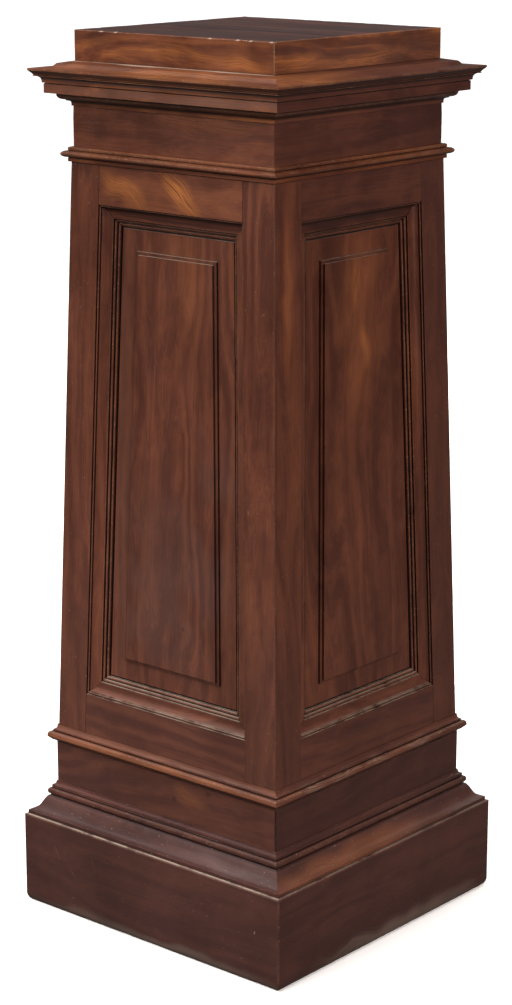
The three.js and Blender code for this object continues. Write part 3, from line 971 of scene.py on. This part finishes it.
# Figure, knots, chips, dark joints, darker stile feet, painted shadows, painted light and painted
# sheens of single pieces: across, level, length, width, tilt, tint, share, striped
SPOTS = {
    "top_rail_front": [
        (0, 962, 190, 34, 0, ORANGE, 0.2, 0.3),
        (25, 963, 58, 19, -37, GOLD, 0.9, 0.9),
        (-71, 959, 64, 27, -33, GOLD, 0.7, 0.9),
    ],
    "left_stile_front": [(-LOW_STILE, LOW_LEVEL, 210, 60, 90 - LEAN, DARK, 0.42, 0.3)],
    "right_stile_front": [
        (SHAFT_CORNER, SHAFT_MIDDLE, 520, 1.6, 90 + LEAN, DARK, 0.7, 0.3),
        (LOW_STILE, LOW_LEVEL, 250, 60, 90 + LEAN, DARK, 0.5, 0.3),
    ],
    "left_stile_right": [
        (-LOW_STILE, LOW_LEVEL, 250, 60, 90 - LEAN, DARK, 0.6, 0.3),
        (-145, 850, 150, 12, 88, ORANGE, 0.7, 0.4),
        (-SHAFT_CORNER, SHAFT_MIDDLE, 520, 5, 90 - LEAN, DARK, 0.7, 0.3),
    ],
    "panel_front": [
        (-35, 770, 95, 16, 100, DARK, 0.6, 1.0),
        (22, 850, 90, 40, 90, ORANGE, 0.3, 0.7),
        (22, 417, 4, 4, 0, DARK, 0.8, 0.0),
        (9, 385, 42, 10, 0, DARK, 0.35, 0.6),
        # Painted sheen over the lower middle, and painted light along the left margin where the
        # moulding shades it
        (0, 470, 120, 190, 0, PAINTED_SHEEN, 0.18, 0.3),
        (-MARGIN_MIDDLE, SHAFT_MIDDLE, 480, 20, 90 - LEAN, PINK, 0.22, 0.2),
    ],
    "panel_right": [
        (14, 771, 36, 14, 100, GOLD, 0.62, 0.7),
        (-5, 848, 44, 12, 80, GOLD, 0.4, 0.9),
        (0, 790, 190, 60, 90, ORANGE, 0.4, 0.6),
    ],
    "die_board_front": [
        (50, 205, 40, 18, -25, ORANGE, 0.5, 0.8),
        (-130, 180, 80, 60, 0, DARK, 0.5, 0.2),
        (22, 197, 5, 6, 0, DARK, 0.8, 0.0),
        (78, 216, 5, 4, 0, DARK, 0.8, 0.0),
    ],
    "cap_board_front": [
        (-90, 1121, 45, 8, -3, GOLD, 0.36, 0.8),
        (20, 1131, 95, 9, -4, GOLD, 0.42, 0.8),
        (117, 1122, 52, 11, -5, GOLD, 0.7, 0.8),
        (110, 1127, 90, 22, 0, ORANGE, 0.3, 0.4),
        (-120, 1141, 44, 8, 0, DARK, 0.5, 0.5),
        *[(across, HEIGHT, 4, 1.6, 0, CREAM, 0.9, 0.0) for across in CAP_CHIPS],
    ],
    "cap_board_right": [
        (-115, 1124, 52, 13, 6, GOLD, 0.7, 0.8),
        (0, 1122, 120, 12, 4, GOLD, 0.5, 0.9),
        # Painted sheen over the face
        (0, 1124, 260, 40, 0, PAINTED_SHEEN, 0.16, 0.0),
    ],
    "cornice_front": [
        (-99, 1084, 10, 6, 0, ORANGE, 0.7, 0.3),
        # A pale line along the top arris, worn and with a painted highlight; a painted reflection in
        # the cove; a painted sheen on the fascia
        (0, CORNICE_TOP, 320, 1.0, 0, CREAM, 0.5, 0.0),
        (0, CORNICE_BOTTOM + 33.5, 320, 1.8, 0, PAINTED_SHEEN, 0.6, 0.0),
        (60, CORNICE_BOTTOM + 22, 240, 9, 0, PAINTED_SHEEN, 0.45, 0.5),
        (0, CORNICE_BOTTOM + 22, 380, 16, 0, PINK, 0.42, 0.3),
        (40, CORNICE_TOP - 6, 150, 7, 0, GOLD, 0.4, 0.8),
        (-150, CORNICE_TOP - 6, 60, 7, 0, ORANGE, 0.5, 0.8),
    ],
    "cornice_right": [(-160, CORNICE_TOP - 6, 170, 9, 0, GOLD, 0.4, 0.6)],
    "frieze_board_front": [
        (-125, 1030, 34, 16, -30, DARK, 0.5, 0.7),
        (-60, 1046, 60, 12, -8, DARK, 0.35, 0.9),
        (50, 1048, 120, 16, -3, ORANGE, 0.32, 1.0),
        (40, 1020, 110, 10, -2, DARK, 0.3, 0.9),
    ],
    "panel_moulding_front": [
        # Painted shadow of the top rail: dark lines and a dark band along the top strip
        (0, OPENING_TOP - 3.5, 190, 2.5, 0, DARK, 0.75, 0.0),
        (0, OPENING_TOP - 12, 190, 2.6, 0, DARK, 0.75, 0.0),
        (0, OPENING_TOP - 9, 230, 15, 0, DARK, 0.35, 0.0),
    ],
    # Painted shadow of the top rail along the top strip
    "panel_moulding_right": [(0, OPENING_TOP - 8, 200, 14, 0, DARK, 0.8, 0.0)],
    "plinth_board_front": [
        # Painted reflection of the floor along the foot
        (20, 5, 280, 13, 0, PAINTED_FLOOR_REFLECTION, 0.36, 0.2),
        (-160, 84, 16, 0.8, -62, PINK, 0.5, 0.0),
        (-132, 62, 12, 0.7, -48, PINK, 0.4, 0.0),
        (-96, 88, 10, 0.7, -70, PINK, 0.4, 0.0),
        (182, 70, 3, 1.2, 80, CREAM, 0.4, 0.0),
        (PLINTH_HALF, 60, 60, 3, 90, DARK, 0.7, 0.0),
    ],
    "plinth_board_right": [
        # Painted reflection of the floor along the foot
        (30, 7, 200, 22, 0, PAINTED_FLOOR_REFLECTION, 0.42, 0.2),
        (-PLINTH_HALF, 60, 60, 3, 90, DARK, 0.7, 0.0),
    ],
    "plinth_moulding_front": [
        # Painted sheen on the ogee near the corner
        (120, 136, 110, 9, 0, PAINTED_SHEEN, 0.4, 0.5),
        (0, PLINTH_TOP + 36, 300, 0.9, 0, CREAM, 0.5, 0.6),
    ],
    "shaft_base_moulding_front": [
        # Painted light: an orange band brightens the nose
        (0, DIE_TOP + 10, 300, 8, 0, ORANGE, 0.75, 0.4),
        (0, DIE_TOP + 22, 300, 4, 0, PINK, 0.6, 0.4),
    ],
    "shaft_base_moulding_right": [
        # Painted light: an orange band brightens the nose
        (0, DIE_TOP + 10, 300, 8, 0, ORANGE, 0.25, 0.6),
        *[(across, DIE_TOP + 13, 34, 9, 0, CREAM, 0.22, 1.0) for across in (-120, -60, 10, 90)],
    ],
    "plinth_moulding_right": [(-70, 134, 230, 15, 0, ORANGE, 0.5, 0.4)],
}

# Each kind of piece: how it is modelled, its record slot, its grain, tone and finish
SHAFT = "shaft_mahogany"
MOULDING = "moulding_mahogany"
PLINTH = "plinth_mahogany"
CAP = "cap_mahogany"
PLINTH_FINISH = {"gold": 0.4, "dust": 0.75, "wear": 0.15, "specks": 0.35}
NOSING_FINISH = {"wear": 0.2, "specks": 0.5}
STILE_FINISH = {"wear": 0.1, "specks": 0.5}
KINDS = {
    "plinth_board": (plinth_board, PLINTH, "along", DARKEST, PLINTH_FINISH),
    "plinth_moulding": (plinth_moulding, MOULDING, "along", DEEP_RED, {"specks": 1.0, "wear": 0.15}),
    "die_board": (die_board, PLINTH, "along", DARK_RED, {"gold": 0.4}),
    "shaft_base_moulding": (shaft_base_moulding, MOULDING, "along", RED_BROWN, NOSING_FINISH),
    "left_stile": (left_stile, SHAFT, "up", RED_BROWN, STILE_FINISH),
    "right_stile": (right_stile, SHAFT, "up", RED_BROWN, STILE_FINISH),
    "bottom_rail": (bottom_rail, SHAFT, "along", DARK_RED, {"dust": 0.6}),
    "top_rail": (top_rail, SHAFT, "along", RED_BROWN, {}),
    "panel": (panel, SHAFT, "up", RED_BROWN, {"dust": 0.5, "wear": 0.1}),
    "panel_moulding": (panel_moulding, MOULDING, "up", RED_BROWN, {"dust": 0.6, "wear": 0.2}),
    "neck_moulding": (neck_moulding, MOULDING, "along", WARM_BROWN, {"wear": 0.3}),
    "frieze_board": (frieze_board, SHAFT, "along", RED_BROWN, {"wear": 0.25}),
    "cornice": (cornice, MOULDING, "along", GOLDEN, {"wear": 0.35}),
    "cap_board": (cap_board, CAP, "along", WARM_BROWN, {"gold": 0.7, "wear": 0.5}),
}


def fit(piece, node, woods, seed):
    """Finishes a piece in its place: wear, material, and what it stands for."""
    mark_edges(piece)
    wear_edges(piece, WEAR_DEPTH, WEAR_SIZE, seed)
    for point, towards in CHIPS.get(node, ()):
        dent(piece, point, CHIP_RADIUS, CHIP_DEPTH, towards)
    smooth(piece)
    piece.name = node + "_piece"
    for wood in woods:
        piece.data.materials.append(wood)
    upright = piece.data.attributes.get("upright")
    if upright:
        turns = [mark.value for mark in upright.data]
        piece.data.polygons.foreach_set("material_index", turns)
        piece.data.attributes.remove(upright)
    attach(piece, "root")
    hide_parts(node)


KIND_SEED = 1.37
SIDE_SEED = 5.1
TOP_SEED = 2.2
fronts = {kind: make() for kind, (make, *rest) in KINDS.items()}
top = cap_top_board()
gather_grime_and_shade([*fronts.values(), top])

for number, (kind, (make, slot, run, usual_tone, finish)) in enumerate(KINDS.items()):
    first = fronts[kind]
    first.data.materials.clear()
    pieces = [first]
    for side in SIDES[1:]:
        copied = first.copy()
        copied.data = first.data.copy()
        bpy.context.scene.collection.objects.link(copied)
        pieces.append(copied)
    for quarter, (side, piece) in enumerate(zip(SIDES, pieces)):
        piece.data.transform(Matrix.Rotation(quarter * math.pi / 2, 4, "Z"))
        seed = 1.0 + number * KIND_SEED + quarter * SIDE_SEED
        grains = [ALONG[side]] if run == "along" else ["Z"]
        if kind == "panel_moulding":
            grains = [ALONG[side], "Z"]
        node = f"{kind}_{side}"
        tone = TONES.get(node, usual_tone)
        spots = SPOTS.get(node, ())
        given = {**finish, **FINISHES.get(node, {})}
        woods = [mahogany(node, grain, tone, seed, side, spots=spots, **given) for grain in grains]
        fit(piece, node, woods, seed)

top_wood = mahogany("cap top", "X", PLUM, TOP_SEED, gold=0.6, gloss=0.3)
fit(top, "cap_top_board", [top_wood], TOP_SEED)


# Floor, lights and camera
MIDDLE = Vector((0, 0, 0.6))
WARM_WHITE = (1.0, 0.93, 0.85)
WARM = (1.0, 0.85, 0.75)
PALE = (0.97, 0.97, 0.97, 1)
WORLD_COLOUR = (0.86, 0.82, 0.8, 1)
WORLD_STRENGTH = 0.16


def pale_floor():
    """A wide pale floor, seen by the camera but kept from hazing the polish."""
    deselect_everything()
    bpy.ops.mesh.primitive_grid_add(x_subdivisions=8, y_subdivisions=8, size=60)
    floor = bpy.context.object
    floor.name = "floor"
    material = bpy.data.materials.new("pale floor")
    material.use_nodes = True
    shader = material.node_tree.nodes["Principled BSDF"]
    shader.inputs["Base Color"].default_value = PALE
    shader.inputs["Roughness"].default_value = 0.9
    shader.inputs["Specular IOR Level"].default_value = 0.1
    shader.inputs["Emission Color"].default_value = (1, 1, 1, 1)
    shader.inputs["Emission Strength"].default_value = 0.2
    floor.data.materials.append(material)
    floor.visible_diffuse = False
    floor.visible_glossy = False


def soft_light(name, place, width, power, colour):
    """A square soft light, turned to the middle of the pedestal."""
    light = bpy.data.lights.new(name, "AREA")
    light.shape = "SQUARE"
    light.size = width
    light.energy = power
    light.color = colour
    lamp = bpy.data.objects.new(name, light)
    lamp.location = place
    lamp.rotation_euler = (MIDDLE - Vector(place)).to_track_quat("-Z", "Y").to_euler()
    bpy.context.scene.collection.objects.link(lamp)


def soft_sun(place, strength, spread):
    """An even soft light from high up, so wide that its shadows have no edge."""
    light = bpy.data.lights.new("overhead", "SUN")
    light.energy = strength
    light.angle = math.radians(spread)
    lamp = bpy.data.objects.new("overhead", light)
    lamp.location = place
    lamp.rotation_euler = (-Vector(place)).to_track_quat("-Z", "Y").to_euler()
    bpy.context.scene.collection.objects.link(lamp)


pale_floor()
soft_sun((-0.6, -1.1, 4.0), 2.95, 60)
soft_light("key", (-1.4, -5.8, 3.8), 2.6, 350, WARM_WHITE)
soft_light("fill", (5.6, -1.6, 2.8), 2.4, 295, WARM)
soft_light("left", (-5.0, 0.6, 1.3), 2.0, 150, WARM_WHITE)
soft_light("back", (-0.6, 5.0, 1.3), 2.0, 150, WARM_WHITE)

world = bpy.context.scene.world or bpy.data.worlds.new("studio")
bpy.context.scene.world = world
world.use_nodes = True
sky = world.node_tree.nodes["Background"]
sky.inputs["Color"].default_value = WORLD_COLOUR
sky.inputs["Strength"].default_value = WORLD_STRENGTH
bpy.context.scene.view_settings.view_transform = "Standard"

CAMERA_AZIMUTH = math.radians(40.54)
CAMERA_ELEVATION = math.radians(14.69)
CAMERA_DISTANCE = 3.244
TARGET_LEVEL = 0.5443
TARGET_SHIFT = -0.0032
FOCAL_LENGTH = 89.59
towards_camera = Vector((
    math.sin(CAMERA_AZIMUTH) * math.cos(CAMERA_ELEVATION),
    -math.cos(CAMERA_AZIMUTH) * math.cos(CAMERA_ELEVATION),
    math.sin(CAMERA_ELEVATION),
))
sideways = Vector((math.cos(CAMERA_AZIMUTH), math.sin(CAMERA_AZIMUTH), 0))
target = Vector((0, 0, TARGET_LEVEL)) + sideways * TARGET_SHIFT
camera = bpy.data.objects.new("camera", bpy.data.cameras.new("camera"))
camera.data.lens = FOCAL_LENGTH
camera.location = target + towards_camera * CAMERA_DISTANCE
camera.rotation_euler = (-towards_camera).to_track_quat("-Z", "Y").to_euler()
bpy.context.scene.collection.objects.link(camera)
bpy.context.scene.camera = camera
